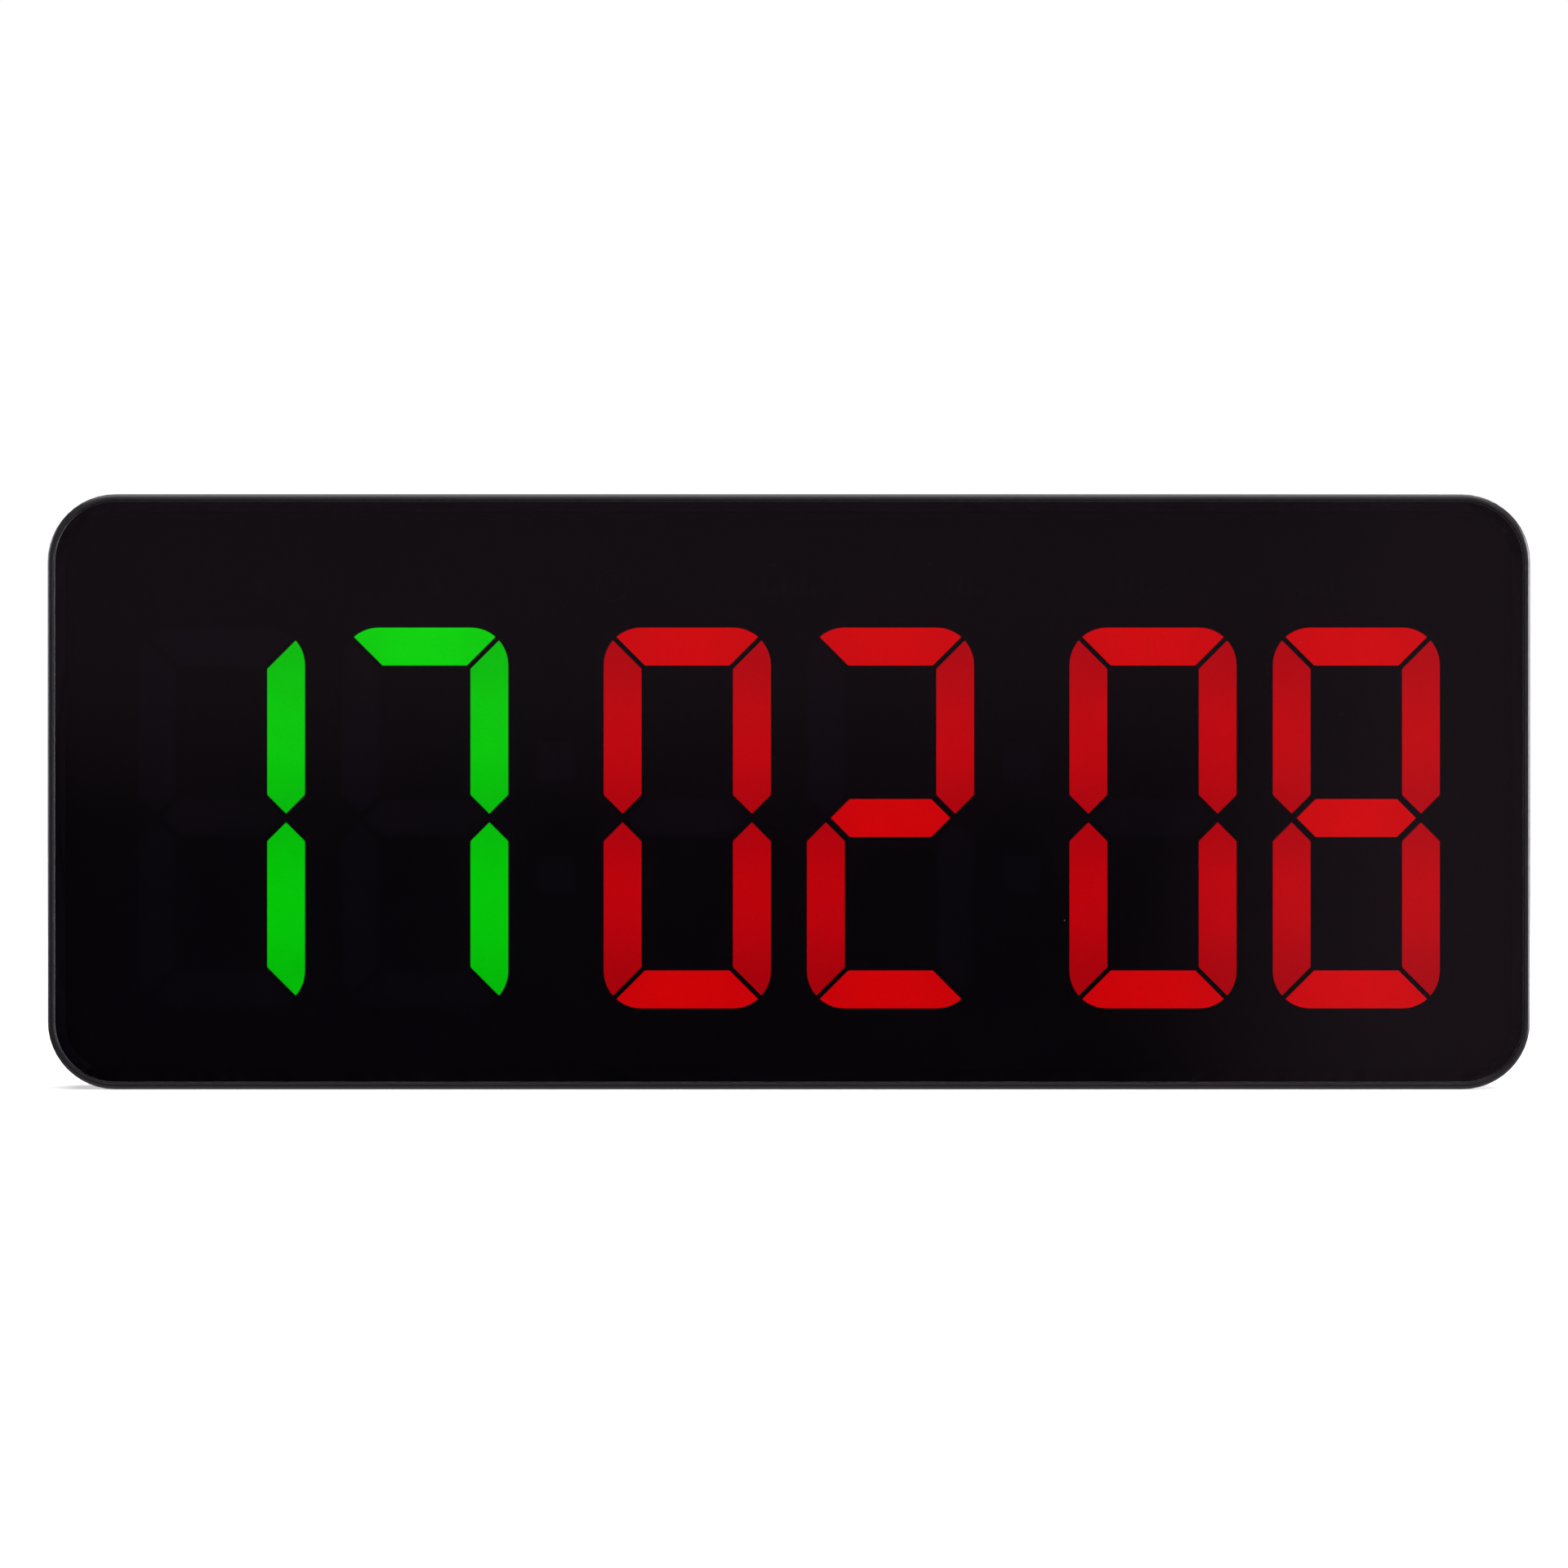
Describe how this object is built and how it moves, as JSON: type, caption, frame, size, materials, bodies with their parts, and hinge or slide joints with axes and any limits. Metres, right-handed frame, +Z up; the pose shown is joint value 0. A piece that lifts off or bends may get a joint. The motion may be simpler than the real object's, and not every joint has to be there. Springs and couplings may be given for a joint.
{
  "type": "gym round timer",
  "caption": "Slim black interval timer with a smoked front over lit red and green digits, rear push buttons, wall keyholes and fold-out feet.",
  "frame": {"origin": "middle of the base, at mid depth between the front lip and the rear bumpers", "axes": "+X to the right as seen from the front, +Y to the back, +Z up"},
  "size_m": [0.3946, 0.03, 0.1584],
  "materials": {
    "frame_plastic": "satin moulded black plastic",
    "smoked_acrylic": "polished smoked acrylic",
    "tape_foam": "black foam tape",
    "mask_film": "matt black film",
    "white_plastic": "matt white plastic",
    "green_light": "diffusing insert lit green",
    "red_light": "diffusing insert lit red",
    "unlit_diffuser": "grey diffusing insert",
    "circuit_board": "green solder mask",
    "led_package": "moulded diode with a phosphor window",
    "chip_black": "moulded black epoxy",
    "bright_metal": "bright plated steel",
    "screw_steel": "blackened steel",
    "cover_plastic": "fine-textured black plastic",
    "button_plastic": "satin grey-black plastic",
    "switch_plastic": "glossy black plastic",
    "plunger_plastic": "natural plastic",
    "battery_wrap": "silver laminated pouch",
    "pad_foam": "grey foam",
    "plug_plastic": "natural nylon",
    "ribbon_plastic": "grey flat cable",
    "lead_plastic": "wire insulation",
    "foot_rubber": "matt black rubber"
  },
  "bodies": {
    "housing": {"front_frame": "frame_plastic", "front_lens": "smoked_acrylic", "lens_tape": "tape_foam", "segment_mask": "mask_film", "light_box": "white_plastic", "digit_1_lit": "green_light", "digit_2_lit": "green_light", "digit_3_lit": "red_light", "digit_4_lit": "red_light", "digit_5_lit": "red_light", "digit_6_lit": "red_light", "digit_1_unlit": "unlit_diffuser", "digit_2_unlit": "unlit_diffuser", "digit_3_unlit": "unlit_diffuser", "digit_4_unlit": "unlit_diffuser", "digit_5_unlit": "unlit_diffuser", "colon_inserts": "unlit_diffuser", "icon_diffuser": "unlit_diffuser", "led_board": "circuit_board", "green_leds": "led_package", "red_leds": "led_package", "remote_receiver": "chip_black", "driver_chips": "chip_black", "control_board": "circuit_board", "microcontroller": "chip_black", "clock_crystal": "bright_metal", "coin_cell_holder": "chip_black", "coin_cell": "bright_metal", "buzzer": "chip_black", "switch_bodies": "chip_black", "power_switch_body": "switch_plastic", "charge_board": "circuit_board", "charge_chip": "chip_black", "charge_socket": "bright_metal", "battery_pack": "battery_wrap", "battery_pads": "pad_foam", "board_plugs": "plug_plastic", "ribbon_cable": "ribbon_plastic", "leads": "lead_plastic", "rear_cover": "cover_plastic", "cover_screws": "screw_steel", "board_screws": "bright_metal", "hinge_pins": "bright_metal", "rear_bumpers": "foot_rubber"},
    "start_button": {"start_button": "button_plastic", "start_plunger": "plunger_plastic"},
    "reset_button": {"reset_button": "button_plastic", "reset_plunger": "plunger_plastic"},
    "mode_button": {"mode_button": "button_plastic", "mode_plunger": "plunger_plastic"},
    "up_button": {"up_button": "button_plastic", "up_plunger": "plunger_plastic"},
    "down_button": {"down_button": "button_plastic", "down_plunger": "plunger_plastic"},
    "power_rocker": {"power_rocker": "switch_plastic"},
    "left_foot": {"left_foot": "button_plastic", "left_foot_pad": "foot_rubber"},
    "right_foot": {"right_foot": "button_plastic", "right_foot_pad": "foot_rubber"}
  },
  "joints": [
    {"name": "start_press", "type": "slide", "parent": "housing", "child": "start_button", "axis": [0, -1, 0], "range_m": [0, 0.0005], "stiffness_N_per_m": 200},
    {"name": "reset_press", "type": "slide", "parent": "housing", "child": "reset_button", "axis": [0, -1, 0], "range_m": [0, 0.0005], "stiffness_N_per_m": 200},
    {"name": "mode_press", "type": "slide", "parent": "housing", "child": "mode_button", "axis": [0, -1, 0], "range_m": [0, 0.0005], "stiffness_N_per_m": 200},
    {"name": "up_press", "type": "slide", "parent": "housing", "child": "up_button", "axis": [0, -1, 0], "range_m": [0, 0.0005], "stiffness_N_per_m": 200},
    {"name": "down_press", "type": "slide", "parent": "housing", "child": "down_button", "axis": [0, -1, 0], "range_m": [0, 0.0005], "stiffness_N_per_m": 200},
    {"name": "rocker_tilt", "type": "hinge", "parent": "housing", "child": "power_rocker", "pos_m": [-0.165, 0.0115, 0.045], "axis": [-1, 0, 0], "range_deg": [0, 16]},
    {"name": "left_foot_fold", "type": "hinge", "parent": "housing", "child": "left_foot", "pos_m": [-0.12, 0.009, 0.006], "axis": [-1, 0, 0], "range_deg": [0, 90]},
    {"name": "right_foot_fold", "type": "hinge", "parent": "housing", "child": "right_foot", "pos_m": [0.12, 0.009, 0.006], "axis": [-1, 0, 0], "range_deg": [0, 90]}
  ]
}
